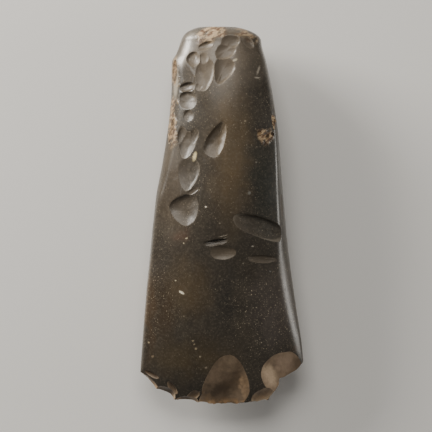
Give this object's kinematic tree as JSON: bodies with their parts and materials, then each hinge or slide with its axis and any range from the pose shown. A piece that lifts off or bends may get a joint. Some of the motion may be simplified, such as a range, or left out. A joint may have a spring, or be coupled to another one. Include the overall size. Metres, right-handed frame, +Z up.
{
  "type": "axe head",
  "caption": "Ground and polished flint axe head with a flared cutting edge, flat ground sides, a narrow rounded butt, unground flake scars and a chipped blade.",
  "frame": {"origin": "middle of the bounding box's underside, on the surface that the head lies on", "axes": "+Z up out of the front face, +Y from the cutting edge towards the butt, +X to the right seen from above with the butt at the top"},
  "size_m": [0.0755, 0.175, 0.035],
  "materials": {
    "flint": "polished"
  },
  "bodies": {
    "root": {"axe_head": "flint"}
  },
  "joints": []
}
